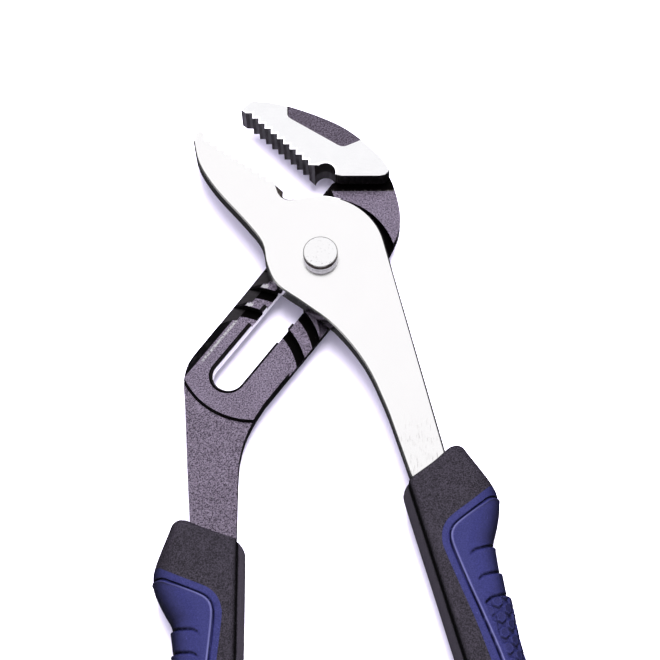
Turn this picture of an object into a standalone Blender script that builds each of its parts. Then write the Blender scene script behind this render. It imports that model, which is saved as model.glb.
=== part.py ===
"""Tongue and groove pliers: two levers, a sliding pivot and two moulded grips.

Row frame: origin on the pivot axis at the plane the pliers lie on, +Y towards
the jaws, +Z along the pivot towards the round nut. Lengths below are in mm.
"""
import math

import bmesh
import bpy
from mathutils import Vector

# ---------------------------------------------------------------- main sizes
MM = 0.001
MID_Z = 9.8              # plane where the two levers slide on each other
JAW_HALF = 5.4           # half the thickness of the full-height jaws
FACE_GAP = 0.15          # half the gap between the sliding faces
EDGE = 0.4               # small chamfer on the lever edges

SLOT_ANGLE = 53.0        # direction of the slot, degrees from +X
SLOT_HALF = 4.95         # half the clear width of the slot
POSITIONS = 7            # grooves, one for each jaw size
PITCH = 7.8              # spacing of the grooves along the slot
GROOVE_IN = 18.4         # inner radius of each groove about its pivot place
GROOVE_OUT = 23.8        # outer radius of each groove
GROOVE_DEPTH = 2.6

TONGUE_IN = 18.65        # the tongue that drops into one groove
TONGUE_OUT = 20.9
TONGUE_FROM = 72.0       # start and end of the tongue, degrees from +X
TONGUE_TO = 106.0
TONGUE_DEPTH = 2.2

JOURNAL_R = 4.0          # pivot bolt inside the outer lever
JOURNAL_CLEAR = 0.08
RUNNER_R = 4.85          # pivot bolt inside the slot
STUD_R = 3.0
NUT_R = 5.05
NUT_HEIGHT = 3.2
BOLT_HEAD_R = 7.6
BOLT_HEAD_Z = 2.8
WASHER_R = 8.6

GRIP_HALF = 9.8          # half the thickness of a grip
GRIP_LENGTH = 108.0
GRIP_GAP = 0.15          # gap round the lever tang and between the two mouldings
INLAY_DEPTH = 2.6        # how deep the blue moulding sits in the black one
PAD_PROUD = 0.35         # how far the raised pad stands above its border

TOP_Z = MID_Z + JAW_HALF
BOTTOM_Z = MID_Z - JAW_HALF
OUTER_FACE_Z = MID_Z + FACE_GAP
INNER_FACE_Z = MID_Z - FACE_GAP
HANDLE_FACE_Z = INNER_FACE_Z - 0.8
HEADWARD = Vector((math.cos(math.radians(SLOT_ANGLE)), math.sin(math.radians(SLOT_ANGLE))))
ACROSS = Vector((HEADWARD.y, -HEADWARD.x))


# ------------------------------------------------------------ plain 2D tools
def arc(cx, cy, r, start, end, steps):
    """Points on an arc from one angle to another, in degrees."""
    points = []
    for i in range(steps + 1):
        a = math.radians(start + (end - start) * i / steps)
        points.append((cx + r * math.cos(a), cy + r * math.sin(a)))
    return points


def smooth(points, steps):
    """A soft curve through the given points."""
    ends = [points[0]] + list(points) + [points[-1]]
    result = []
    for i in range(1, len(ends) - 2):
        p0, p1, p2, p3 = (Vector(p) for p in ends[i - 1:i + 3])
        for k in range(steps):
            t = k / steps
            q = 2 * p1 + (p2 - p0) * t
            q += (2 * p0 - 5 * p1 + 4 * p2 - p3) * t * t
            q += (3 * p1 - p0 - 3 * p2 + p3) * t * t * t
            result.append((q.x / 2, q.y / 2))
    result.append(tuple(points[-1]))
    return result


def signed_area(points):
    total = 0.0
    for (x0, y0), (x1, y1) in zip(points, points[1:] + points[:1]):
        total += x0 * y1 - x1 * y0
    return total / 2


def inset(points, distance):
    """The outline moved inwards by a small distance (outwards if negative)."""
    side = 1 if signed_area(points) > 0 else -1
    result = []
    count = len(points)
    for i in range(count):
        here = Vector(points[i])
        before = (here - Vector(points[i - 1])).normalized()
        after = (Vector(points[(i + 1) % count]) - here).normalized()
        n0 = Vector((-before.y, before.x)) * side
        n1 = Vector((-after.y, after.x)) * side
        middle = n0 + n1
        middle /= max(middle.dot(n0), 0.3)
        result.append((here.x + middle.x * distance, here.y + middle.y * distance))
    return result


def tidy_outline(points, smallest=0.02):
    """Drop points that sit on top of the one before."""
    kept = []
    for p in points:
        if not kept or (Vector(p) - Vector(kept[-1])).length > smallest:
            kept.append(tuple(p))
    if (Vector(kept[0]) - Vector(kept[-1])).length < smallest:
        kept.pop()
    return kept


# ---------------------------------------------------------------- mesh tools
def mesh_object(name, rings, caps=True):
    """A closed skin through rings of (x, y, z) points given in mm."""
    bm = bmesh.new()
    rows = [[bm.verts.new((x * MM, y * MM, z * MM)) for x, y, z in ring] for ring in rings]
    count = len(rows[0])
    for low, high in zip(rows, rows[1:]):
        for i in range(count):
            j = (i + 1) % count
            bm.faces.new((low[i], low[j], high[j], high[i]))
    if caps:
        bm.faces.new(list(reversed(rows[0])))
        bm.faces.new(rows[-1])
    else:
        first, last = rows[0], rows[-1]
        for i in range(count):
            j = (i + 1) % count
            bm.faces.new((last[i], last[j], first[j], first[i]))
    bmesh.ops.recalc_face_normals(bm, faces=bm.faces)
    mesh = bpy.data.meshes.new(name)
    bm.to_mesh(mesh)
    bm.free()
    obj = bpy.data.objects.new(name, mesh)
    bpy.context.scene.collection.objects.link(obj)
    return obj


def prism(name, outline, z0, z1, chamfer=0.0):
    """An upright block with an optional chamfer round both ends."""
    outline = tidy_outline(outline)
    if chamfer:
        small = inset(outline, chamfer)
        layers = [(small, z0), (outline, z0 + chamfer), (outline, z1 - chamfer), (small, z1)]
    else:
        layers = [(outline, z0), (outline, z1)]
    return mesh_object(name, [[(x, y, z) for x, y in points] for points, z in layers])


def turned(name, profile, steps=64, hollow=False):
    """A solid of revolution about the pivot axis; profile is (radius, z).

    A hollow one is a closed ring whose profile never meets the axis.
    """
    rings = []
    for r, z in profile:
        rings.append([(x, y, z) for x, y in arc(0, 0, r, 0, 360, steps)[:-1]])
    return mesh_object(name, rings, caps=not hollow)


def combine(target, tool, operation):
    """Cut, join or keep the common part, then throw the tool away."""
    modifier = target.modifiers.new("combine", "BOOLEAN")
    modifier.operation = operation
    modifier.solver = "EXACT"
    modifier.object = tool
    graph = bpy.context.evaluated_depsgraph_get()
    graph.update()
    mesh = bpy.data.meshes.new_from_object(target.evaluated_get(graph))
    old = target.data
    target.modifiers.clear()
    target.data = mesh
    bpy.data.meshes.remove(old)
    bpy.data.objects.remove(tool)
    return target


def finish(obj, name, material):
    """Name the piece, give it its material and tidy its mesh."""
    obj.name = name
    obj.data.name = name
    bm = bmesh.new()
    bm.from_mesh(obj.data)
    bmesh.ops.remove_doubles(bm, verts=bm.verts, dist=0.000002)
    bmesh.ops.dissolve_degenerate(bm, edges=bm.edges, dist=0.000001)
    bmesh.ops.recalc_face_normals(bm, faces=bm.faces)
    bm.to_mesh(obj.data)
    bm.free()
    obj.data.materials.clear()
    obj.data.materials.append(material)
    for polygon in obj.data.polygons:
        polygon.use_smooth = True
    obj.data.set_sharp_from_angle(angle=math.radians(32))
    return obj


def make_material(name, colour, metallic, roughness):
    material = bpy.data.materials.new(name)
    material.use_nodes = True
    shader = material.node_tree.nodes["Principled BSDF"]
    shader.inputs["Base Color"].default_value = (*colour, 1)
    shader.inputs["Metallic"].default_value = metallic
    shader.inputs["Roughness"].default_value = roughness
    return material


# ------------------------------------------------------------ lever outlines
class Handle:
    """Turns (along, across) grip positions into row positions.

    along runs from the front of the grip to its end; across is positive on
    the side the palm or fingers press.
    """

    def __init__(self, origin, angle, side):
        self.origin = Vector(origin)
        self.along = Vector((math.cos(math.radians(angle)), math.sin(math.radians(angle))))
        self.across = Vector((-self.along.y, self.along.x)) * side

    def at(self, along, across):
        p = self.origin + self.along * along + self.across * across
        return (p.x, p.y)


OUTER_HANDLE = Handle((30.9, -64.3), -74.0, 1)
INNER_HANDLE = Handle((-31.8, -84.0), -90.0, -1)


def tang(handle, inner_edge, outer_edge, grow=0.0):
    """The part of a lever hidden in its grip, from the outer side round to the inner."""
    side = [(8, outer_edge), (30, 4.8), (56, 3.5), (92, 3.1), (95.2, 2.3), (96, 0.8)]
    points = [handle.at(t + (grow if t > 94 else 0), a + grow) for t, a in side]
    side = [(96, -1.8), (95.2, -3.3), (92, -4.1), (40, -5.4), (8, inner_edge)]
    return points + [handle.at(t + (grow if t > 94 else 0), a - grow) for t, a in side]


def outer_outline():
    """Outer lever seen from above, starting at the jaw tip and going round clockwise."""
    points = [(-40.7, 41.6), (-40.3, 43.9), (-39.4, 45.3), (-38.3, 45.7), (-37.4, 44.9), (-36.9, 43.6)]
    points += [(-36.7, 41.9)]
    for i in range(10):
        points.append((-34.7 + 2.256 * i, 41.9 - 1.644 * i))
        if i < 9:
            points.append((-34.7 + 2.256 * i, 41.9 - 1.644 * (i + 1)))
    points += [(-14.0, 25.2), (-13.2, 22.6), (-12.2, 21.1), (-10.9, 20.4), (-9.4, 20.2), (-7.9, 20.4)]
    points += arc(-0.9, 0.3, 21.2, 105, 13, 24)
    points += [(30.5, -38.9)]
    points += tang(OUTER_HANDLE, -6.0, 5.5)
    edge = [(26.4, -71.6), (23.0, -60.8), (19.4, -49.9), (13.4, -36.2), (4.6, -24.2), (-4.9, -16.2)]
    edge += [(-13.4, -9.6), (-16.8, -2.6), (-18.4, 5.0), (-23.7, 12.6), (-33.0, 23.8), (-38.7, 33.2)]
    points += smooth(edge + [(-40.7, 41.6)], 4)
    return tidy_outline(points)


def inner_outline():
    """Inner lever seen from above, starting at the jaw tip and going round clockwise."""
    points = [(-25.6, 51.9), (-25.7, 53.1), (-22.9, 55.9), (-21.8, 56.3)]
    back = [(-19.0, 56.1), (-13.0, 55.0), (-3.5, 51.6), (6.1, 46.9), (12.8, 41.7), (19.0, 35.4)]
    back += [(22.3, 29.6), (24.2, 22.6), (25.0, 16.6), (24.2, 10.6), (21.6, 4.6)]
    points += smooth(back, 4)
    turn = [(-17.2, -46.9), (-20.5, -52.6), (-23.0, -58.6), (-24.4, -65.0), (-24.8, -72.0)]
    points += smooth(turn, 3)
    points += reversed(tang(INNER_HANDLE, -6.9, 6.9))
    edge = [(-38.7, -84.0), (-40.0, -66.0), (-41.2, -47.0), (-41.8, -39.5), (-40.6, -32.4), (-37.0, -26.8)]
    points += smooth(edge, 3)
    points += [(3.6, 28.6)]
    points += arc(1.4, 29.9, 3.3, -18, 170, 14)
    for i in range(10):
        x = -3.9 - 2.011 * i
        y = 32.6 + 1.911 * i
        if i:
            points.append((x + 2.011, y))
        points.append((x, y))
    points += [(-22.0, 51.8)]
    return tidy_outline(points)


# ------------------------------------------------------------------- levers
def sector(centre, r_in, r_out, start, end, steps):
    """Plan outline of a curved bar about a centre."""
    cx, cy = centre
    return arc(cx, cy, r_out, start, end, steps) + arc(cx, cy, r_in, end, start, steps)


def build_outer_lever():
    lever = prism("outer", outer_outline(), BOTTOM_Z, TOP_Z, EDGE)
    # below the sliding face only the jaw keeps its full height
    clear = [(-10.8, 60), (-10.8, 21.5)] + arc(0, 0, 19.4, 124, 136, 4)
    clear += [(-60, -7.4), (-60, -260), (140, -260), (140, 60)]
    combine(lever, prism("clear", clear, BOTTOM_Z - 3, OUTER_FACE_Z), "DIFFERENCE")
    tongue = sector((0, 0), TONGUE_IN, TONGUE_OUT, TONGUE_FROM, TONGUE_TO, 12)
    tongue = prism("tongue", tongue, OUTER_FACE_Z - TONGUE_DEPTH, OUTER_FACE_Z + 1)
    combine(lever, tongue, "UNION")
    hole = turned("hole", [(JOURNAL_R + JOURNAL_CLEAR, 2), (JOURNAL_R + JOURNAL_CLEAR, 20)])
    return combine(lever, hole, "DIFFERENCE")


def slot_outline(grow):
    """Round-ended slot from the first pivot place to the last."""
    r = SLOT_HALF + grow
    far = -HEADWARD * (POSITIONS - 1) * PITCH
    points = arc(0, 0, r, SLOT_ANGLE - 90, SLOT_ANGLE + 90, 20)
    return points + arc(far.x, far.y, r, SLOT_ANGLE + 90, SLOT_ANGLE + 270, 20)


def slot_cutter():
    layers = [(0.5, BOTTOM_Z - 1), (0.5, BOTTOM_Z), (0, BOTTOM_Z + 0.5)]
    layers += [(0, INNER_FACE_Z - 0.6), (0.6, INNER_FACE_Z), (0.6, INNER_FACE_Z + 1)]
    return mesh_object("slot", [[(x, y, z) for x, y in slot_outline(g)] for g, z in layers])


def edge_bevel_cutter():
    """Wedge that takes the broad bevel along the back of the slotted plate."""
    rings = []
    for along in (-62, 9):
        ring = []
        for across, z in ((-9.3, 10.4), (-15.5, 5.8), (-15.5, 10.4)):
            p = HEADWARD * along + ACROSS * across
            ring.append((p.x, p.y, z))
        rings.append(ring)
    return mesh_object("bevel", rings)


def build_inner_lever():
    lever = prism("inner", inner_outline(), BOTTOM_Z, TOP_Z, EDGE)
    above = TOP_Z + 2
    # everything behind the jaw is only half as thick, so the outer lever lies on it
    plate = [(-90, -260), (-90, 20), (0, 29.2), (4.3, 29.3), (5.3, 28.7), (6.7, 28.4), (18.6, 28.3)]
    plate += [(20.3, 28.7), (21.3, 29.7), (22, 31.5), (90, 34), (90, -260)]
    combine(lever, prism("plate", plate, INNER_FACE_Z, above), "DIFFERENCE")
    # the handle steps down again beyond an arc
    step = arc(-20.2, -28.6, 24, 196, 292, 16)
    step += [(0, -60), (0, -260), (-90, -260), (-90, -35)]
    combine(lever, prism("step", step, HANDLE_FACE_Z, above), "DIFFERENCE")
    combine(lever, edge_bevel_cutter(), "DIFFERENCE")
    # shallow textured panel on the side of the jaw
    panel = [(-10.9, 62), (-10.8, 50.9), (-10.4, 50.0), (-9.6, 49.3), (5.2, 39.7), (6.3, 39.1)]
    panel += [(7.4, 39.0), (8.6, 39.4), (13.2, 41.5), (30, 49), (30, 62)]
    combine(lever, prism("panel", panel, TOP_Z - 0.5, above), "DIFFERENCE")
    for place in range(POSITIONS):
        centre = -HEADWARD * place * PITCH
        groove = sector(centre, GROOVE_IN, GROOVE_OUT, SLOT_ANGLE - 66, SLOT_ANGLE + 66, 22)
        groove = prism("groove", groove, INNER_FACE_Z - GROOVE_DEPTH, above)
        if place == 0:
            combine(groove, prism("keep", plate, 0, above + 1), "INTERSECT")
        combine(lever, groove, "DIFFERENCE")
    return combine(lever, slot_cutter(), "DIFFERENCE")


# -------------------------------------------------------------------- pivot
def build_bolt():
    head, top = BOLT_HEAD_R, BOLT_HEAD_Z
    profile = [(head - 1.0, 0), (head, 0.8), (head, top - 0.4), (head - 0.4, top), (RUNNER_R, top)]
    profile += [(RUNNER_R, MID_Z - 0.05), (JOURNAL_R, MID_Z - 0.05), (JOURNAL_R, TOP_Z + 0.05)]
    profile += [(STUD_R, TOP_Z + 0.05), (STUD_R, TOP_Z + 1.9), (STUD_R - 0.4, TOP_Z + 2.2)]
    return turned("bolt", profile)


def build_nut():
    base, top = TOP_Z + 0.15, TOP_Z + NUT_HEIGHT
    profile = [(NUT_R - 0.3, base), (NUT_R, base + 0.3), (NUT_R, top - 0.3), (NUT_R - 0.35, top)]
    nut = turned("nut", profile)
    bore = turned("bore", [(STUD_R + 0.06, base - 1), (STUD_R + 0.06, TOP_Z + 2.35)])
    return combine(nut, bore, "DIFFERENCE")


def build_washer():
    low, high = BOLT_HEAD_Z + 0.2, BOTTOM_Z - 0.2
    profile = [(RUNNER_R + 0.15, low), (WASHER_R - 0.2, low), (WASHER_R, low + 0.2)]
    profile += [(WASHER_R, high - 0.2), (WASHER_R - 0.2, high), (RUNNER_R + 0.15, high)]
    return turned("washer", profile, hollow=True)


# -------------------------------------------------------------------- grips
PALM_SIDE = [(0.5, 9.8), (4, 11.4), (9, 13.6), (14, 15.7), (17.2, 16.5), (20.5, 16.6), (24, 15.3)]
PALM_SIDE += [(28.5, 12.9), (33.5, 10.8), (41, 10.2), (48.5, 10.0), (58, 9.4), (67, 8.9), (80, 8.8)]
PALM_SIDE += [(91, 9.8), (99, 11.4), (GRIP_LENGTH, 11.6)]
INSIDE = [(8.5, -8.4), (11, -9.7), (14, -9.95), (40, -10.0), (92, -10.0), (101, -10.4)]
INSIDE += [(GRIP_LENGTH, -10.2)]
CREASES = (33.3, 41.0, 48.6)
BORDER = [(16.0, 24), (16.7, 14.8), (18.2, 10.5), (20.2, 6.0), (22.0, 2.0), (23.7, -0.6), (26.3, -2.7)]
BORDER += [(29.6, -3.8), (33, -3.9), (44.5, -2.8), (58, -1.5), (80, -0.6), (91, -0.2), (96.5, 1.4)]
BORDER += [(99.8, 4.8), (101, 9), (101.4, 24)]
PAD_EDGE = [(19.2, 24), (19.9, 15.2), (21.3, 10.5), (23.0, 6.0), (24.5, 2.0), (26.2, -0.3), (28.5, -1.8)]
PAD_EDGE += [(31, -2.3), (35, -2.2), (44.5, -1.2), (54.7, 0.2), (66.5, 1.4), (80, 2.0), (89, 2.5)]
PAD_EDGE += [(93.5, 3.8), (96.4, 6.8), (97.6, 11), (98, 24)]


def along_curve(points, x):
    """Height of a line chart at x."""
    for (x0, y0), (x1, y1) in zip(points, points[1:]):
        if x <= x1:
            return y0 + (y1 - y0) * max(0.0, (x - x0) / (x1 - x0))
    return points[-1][1]


def grip_section(inner, outer, half):
    """Half a cross-section as (across, height), from the palm side over the top."""
    shape = [(outer, 0), (outer - 0.3, 0.28 * half), (outer - 1.2, 0.53 * half)]
    shape += [(outer - 2.9, 0.77 * half), (outer - 5.4, 0.92 * half), (outer - 8.6, 0.99 * half)]
    shape += [(inner + 6.4, half), (inner + 4.7, 0.93 * half), (inner + 3.5, 0.78 * half)]
    shape += [(inner + 2.9, 0.55 * half), (inner + 2.7, 0.42 * half), (inner + 1.7, 0.38 * half)]
    shape += [(inner + 0.5, 0.30 * half), (inner, 0.14 * half)]
    return shape + [(a, -z) for a, z in reversed(shape[1:])]


def grip_form(name, handle, grow=0.0, deeper=0.0, pad=False):
    """Soft block through slanted sections along a handle.

    grow moves the whole surface out; deeper lowers the palm side and both
    faces to make the core under the blue moulding.
    """
    stops = [i / 24 for i in range(25)]
    palm = smooth(PALM_SIDE, 6)
    if pad:
        for crease in CREASES:
            stops += [(crease + offset) / GRIP_LENGTH for offset in (-1.4, -0.5, 0.4)]
    stops += [0.008, 0.17, 0.97, 0.988]
    rings = []
    for u in sorted(set(stops)):
        t_palm = 0.5 + (GRIP_LENGTH - 0.5) * u
        t_inside = 8.5 + (GRIP_LENGTH - 8.5) * u
        outer = along_curve(palm, t_palm) + grow - deeper
        inner = along_curve(INSIDE, t_inside) - grow
        half = GRIP_HALF + grow - deeper * 0.85
        if pad and t_palm > 19:
            outer += PAD_PROUD
        if pad:
            nearest = min(abs(t_palm - crease) for crease in CREASES)
            outer -= 0.8 * max(0.0, 1 - nearest / 0.9)
        size = 1.0
        from_front = u * GRIP_LENGTH
        from_end = (1 - u) * GRIP_LENGTH
        if from_front < 2.4:
            size = 0.84 + 0.16 * math.sqrt(1 - (1 - from_front / 2.4) ** 2)
        if from_end < 6:
            size = 0.62 + 0.38 * math.sqrt(1 - (1 - from_end / 6) ** 2)
        middle = (inner + outer) / 2
        ring = []
        for across, z in grip_section(inner, outer, half):
            share = (across - inner) / (outer - inner)
            t = t_inside + (t_palm - t_inside) * share
            x, y = handle.at(t, middle + (across - middle) * size)
            ring.append((x, y, MID_Z + z * size))
        rings.append(ring)
    return mesh_object(name, rings)


def plan_region(handle, curve, name):
    """Upright block over everything on the palm side of a plan curve."""
    outline = [handle.at(t, a) for t, a in smooth(curve, 3)]
    return prism(name, outline, MID_Z - 14, MID_Z + 14)


def tang_pocket(handle, inner_edge, outer_edge, z0, z1):
    """Room for the lever inside the black moulding, open at the front."""
    gap = GRIP_GAP * 2
    points = [handle.at(-14, outer_edge + 1.4)]
    points += tang(handle, inner_edge, outer_edge, gap)
    points += [handle.at(-14, inner_edge - 1.4)]
    return prism("pocket", points, z0 - GRIP_GAP, z1 + GRIP_GAP)


def build_grip_body(handle, inner_edge, outer_edge, z0, z1):
    body = grip_form("body", handle)
    recess = [(t - GRIP_GAP if t < 25 else t, a - GRIP_GAP if 25 < t < 95 else a) for t, a in BORDER]
    recess = [(t + GRIP_GAP if t > 95 else t, a) for t, a in recess]
    cutter = plan_region(handle, recess, "recess")
    combine(cutter, grip_form("core", handle, deeper=INLAY_DEPTH), "DIFFERENCE")
    combine(body, cutter, "DIFFERENCE")
    return combine(body, tang_pocket(handle, inner_edge, outer_edge, z0, z1), "DIFFERENCE")


def build_grip_inlay(handle):
    inlay = grip_form("inlay", handle, pad=True)
    combine(inlay, plan_region(handle, BORDER, "region"), "INTERSECT")
    combine(inlay, grip_form("core", handle, deeper=INLAY_DEPTH - GRIP_GAP), "DIFFERENCE")
    # the crease between the flush border and the raised pad
    crease = plan_region(handle, [(t - 0.3, a - 0.3) for t, a in PAD_EDGE], "crease")
    combine(crease, plan_region(handle, [(t + 0.3, a + 0.3) for t, a in PAD_EDGE], "inside"), "DIFFERENCE")
    combine(crease, grip_form("depth", handle, deeper=0.7), "DIFFERENCE")
    return combine(inlay, crease, "DIFFERENCE")


# ------------------------------------------------------------------ assembly
for old in list(bpy.data.objects):
    bpy.data.objects.remove(old)

CHROME = make_material("satin_chrome", (0.80, 0.80, 0.82), 1.0, 0.28)
GUNMETAL = make_material("gunmetal", (0.16, 0.145, 0.165), 1.0, 0.55)
BOLT_STEEL = make_material("bolt_steel", (0.55, 0.55, 0.57), 1.0, 0.35)
NUT_CHROME = make_material("nut_chrome", (0.78, 0.78, 0.80), 1.0, 0.25)
WASHER_STEEL = make_material("washer_steel", (0.45, 0.45, 0.47), 1.0, 0.45)
OUTER_BLACK = make_material("outer_grip_black", (0.035, 0.032, 0.036), 0.0, 0.75)
OUTER_BLUE = make_material("outer_grip_blue", (0.035, 0.035, 0.21), 0.0, 0.5)
INNER_BLACK = make_material("inner_grip_black", (0.035, 0.032, 0.036), 0.0, 0.75)
INNER_BLUE = make_material("inner_grip_blue", (0.035, 0.035, 0.21), 0.0, 0.5)

finish(build_outer_lever(), "outer_lever", CHROME)
finish(build_inner_lever(), "inner_lever", GUNMETAL)
finish(build_bolt(), "pivot_bolt", BOLT_STEEL)
finish(build_nut(), "pivot_nut", NUT_CHROME)
finish(build_washer(), "pivot_washer", WASHER_STEEL)
finish(build_grip_body(OUTER_HANDLE, -6.0, 5.5, OUTER_FACE_Z, TOP_Z), "outer_grip_body", OUTER_BLACK)
finish(build_grip_inlay(OUTER_HANDLE), "outer_grip_inlay", OUTER_BLUE)
finish(build_grip_body(INNER_HANDLE, -6.9, 6.9, BOTTOM_Z, HANDLE_FACE_Z), "inner_grip_body", INNER_BLACK)
finish(build_grip_inlay(INNER_HANDLE), "inner_grip_inlay", INNER_BLUE)
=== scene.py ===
"""Looks for a pair of tongue and groove pliers lying on a white studio table.

The row frame's origin is on the pivot axis at table height, +Y towards the
jaws and +Z towards the round nut. Lengths in the builders below are in mm.
"""

import math

import bmesh
import bpy
import numpy as np
from mathutils import Matrix, Vector


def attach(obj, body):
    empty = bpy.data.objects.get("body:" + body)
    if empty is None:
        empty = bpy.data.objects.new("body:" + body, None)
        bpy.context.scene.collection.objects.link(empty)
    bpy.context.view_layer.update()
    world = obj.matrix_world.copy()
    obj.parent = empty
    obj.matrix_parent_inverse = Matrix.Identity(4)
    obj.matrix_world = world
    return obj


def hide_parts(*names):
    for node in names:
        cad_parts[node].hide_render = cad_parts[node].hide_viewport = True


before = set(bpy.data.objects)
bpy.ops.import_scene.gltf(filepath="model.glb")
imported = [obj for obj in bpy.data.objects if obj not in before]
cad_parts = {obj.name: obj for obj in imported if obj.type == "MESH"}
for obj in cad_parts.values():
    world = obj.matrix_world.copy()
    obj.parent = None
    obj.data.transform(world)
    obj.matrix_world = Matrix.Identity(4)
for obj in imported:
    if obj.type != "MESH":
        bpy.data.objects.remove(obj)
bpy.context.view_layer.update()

MM = 0.001

# ---------------- sizes shared with the model
MID_Z = 9.8  # plane where the two levers slide on each other
TOP_Z = 15.2  # top of the full-height jaws
BOTTOM_Z = 4.4  # underside of the levers
PLATE_Z = 9.65  # face of the slotted plate
HANDLE_FACE_Z = 8.85  # face of the dark handle, one step lower
OUTER_FACE_Z = 9.95  # underside of the bright lever's plate
SLOT_ANGLE = 53.0  # the slot's direction in plan, in degrees
BEVEL_LINE = 9.3  # where the plate's broad bevel starts, across the slot
SLOT_HALF = 4.95  # half the clear width of the slot
PITCH = 7.8  # spacing of the grooves along the slot
SLOT_TRAVEL = 6 * PITCH
GROOVE_OUT = 23.8  # outer radius of a groove about its own pivot place
STEP_CENTRE = (-20.2, -28.6)
STEP_R = 24.0  # arc where the handle steps down from the plate
JAW_ROOT_Y = 25.9  # where the painted shadow in front of the jaw's step begins, towards the jaw
OUTER_HANDLE = (30.9, -64.3)  # middle of each grip's front, and the grip's direction
OUTER_ANGLE = -74.0
INNER_HANDLE = (-31.8, -84.0)
INNER_ANGLE = -90.0
GRIP_LENGTH = 108.0
GRIP_HALF = 9.8


def mesh_object(name, verts, faces):
    """A new object in the scene from points in metres."""
    mesh = bpy.data.meshes.new(name)
    mesh.from_pydata(verts, [], faces)
    obj = bpy.data.objects.new(name, mesh)
    bpy.context.scene.collection.objects.link(obj)
    return obj


def direction(degrees):
    """A unit vector in plan, by its angle from +X."""
    return Vector((math.cos(math.radians(degrees)), math.sin(math.radians(degrees))))


HEADWARD = direction(SLOT_ANGLE)


# ---------------- studio
LENS_MM = 109.09
SENSOR_MM = 36.0
CAMERA_PLACE = (0.01352, -0.27761, 0.56998)
CAMERA_FORWARD = (-0.01739, 0.41415, -0.91004)
CAMERA_RIGHT = (0.99982, 0.0, -0.01911)
SKY_COLOUR = (0.92, 0.90, 1.0, 1)
SKY_FILL = 1.42  # softens the shadows
SKY_MIRRORED = 0.03  # what polished walls mirror is a dark room
LIGHT_TARGET = (0, -0.06, 0)
CARD_WHITE = (1, 0.995, 1.0)
# name, place, size, watts, colour, and whether it is only there to be mirrored
LIGHTS = (
    ("key_light", (0.09, 0.50, 1.10), (0.60, 1.20), 56, (1, 0.985, 0.985), False),
    ("mirror_card", (0.0, 0.55, 1.10), (1.3, 1.0), 4.25, CARD_WHITE, True),
    ("front_card", (0.0, -1.05, 0.75), (1.5, 0.8), 2.2, CARD_WHITE, True),
    ("left_card", (-1.2, 0.0, 0.70), (1.5, 0.8), 2.2, CARD_WHITE, True),
    ("right_card", (1.2, 0.0, 0.70), (1.5, 0.8), 2.2, CARD_WHITE, True),
)
FLOOR_HALF = 1.5
FLOOR_COLOUR = (0.82, 0.785, 0.93)


def add_camera():
    """Camera at the photograph's angle, looking down and a little forward."""
    data = bpy.data.cameras.new("studio_camera")
    data.lens = LENS_MM
    data.sensor_width = SENSOR_MM
    data.clip_start = 0.05
    data.clip_end = 20.0
    camera = bpy.data.objects.new("studio_camera", data)
    forward = Vector(CAMERA_FORWARD)
    right = Vector(CAMERA_RIGHT)
    up = right.cross(forward).normalized()
    turn = Matrix((right, up, -forward)).transposed().to_4x4()
    camera.matrix_world = Matrix.Translation(CAMERA_PLACE) @ turn
    bpy.context.scene.collection.objects.link(camera)
    bpy.context.scene.camera = camera


def add_area_light(name, place, size, watts, colour, mirrored):
    """A soft panel that lights the scene, or one that only shows in polished metal."""
    data = bpy.data.lights.new(name, "AREA")
    data.shape = "RECTANGLE"
    data.size, data.size_y = size
    data.energy = watts
    data.color = colour
    light = bpy.data.objects.new(name, data)
    light.location = place
    light.rotation_mode = "QUATERNION"
    light.rotation_quaternion = (Vector(LIGHT_TARGET) - Vector(place)).to_track_quat("-Z", "Y")
    light.visible_camera = False
    light.visible_glossy = mirrored
    light.visible_diffuse = not mirrored
    bpy.context.scene.collection.objects.link(light)


def add_studio():
    """White sky, a broad key from behind the jaws, and the cards that the metal mirrors."""
    scene = bpy.context.scene
    scene.view_settings.view_transform = "Standard"
    scene.view_settings.look = "None"
    world = bpy.data.worlds.new("studio_world")
    scene.world = world
    world.use_nodes = True
    tree = world.node_tree
    sky = tree.nodes["Background"]
    sky.inputs["Color"].default_value = SKY_COLOUR
    rays = tree.nodes.new("ShaderNodeLightPath")
    dim = tree.nodes.new("ShaderNodeMapRange")
    tree.links.new(rays.outputs["Is Glossy Ray"], dim.inputs["Value"])
    dim.inputs["To Min"].default_value = SKY_FILL
    dim.inputs["To Max"].default_value = SKY_MIRRORED
    tree.links.new(dim.outputs["Result"], sky.inputs["Strength"])
    for light in LIGHTS:
        add_area_light(*light)


def add_floor():
    """The white table, lit but not mirrored by the metal."""
    corners = [(x * FLOOR_HALF, y * FLOOR_HALF, 0) for x, y in ((-1, -1), (1, -1), (1, 1), (-1, 1))]
    floor = mesh_object("floor", corners, [(0, 1, 2, 3)])
    white = Surface("floor_white", 0.0, 1.0, 0.0)
    white.colour(FLOOR_COLOUR)
    floor.data.materials.append(white.material)
    floor.visible_glossy = False


# ---------------- materials
# pairs are the darker and the lighter tone of one surface
CHROME = ((0.945, 0.935, 0.94), (0.970, 0.962, 0.965))
CHROME_SCUFF = (0.42, 0.40, 0.38)
SCUFFS_ALONG = (56.0, 70.0)  # where the scuffs fade in, from the pivot along the handle
TOOTH_PLATING = ((0.60, 0.60, 0.62), (0.80, 0.80, 0.82))
POLISHED = ((0.90, 0.90, 0.92), (0.95, 0.95, 0.96))
PLATE_TONES = ((0.105, 0.086, 0.120), (0.520, 0.435, 0.600))
PANEL_TONES = ((0.066, 0.053, 0.074), (0.285, 0.240, 0.325))
HANDLE_TONES = ((0.072, 0.058, 0.082), (0.480, 0.400, 0.545))
SPARK = (0.80, 0.72, 0.90)
PIT = (0.020, 0.017, 0.021)
SHADE_BLACK = (0.004, 0.0035, 0.0038)
MARGIN_BLACK = (0.006, 0.005, 0.005)
NICK = (0.010, 0.009, 0.010)
BARE_EDGE = (0.85, 0.83, 0.88)
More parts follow.
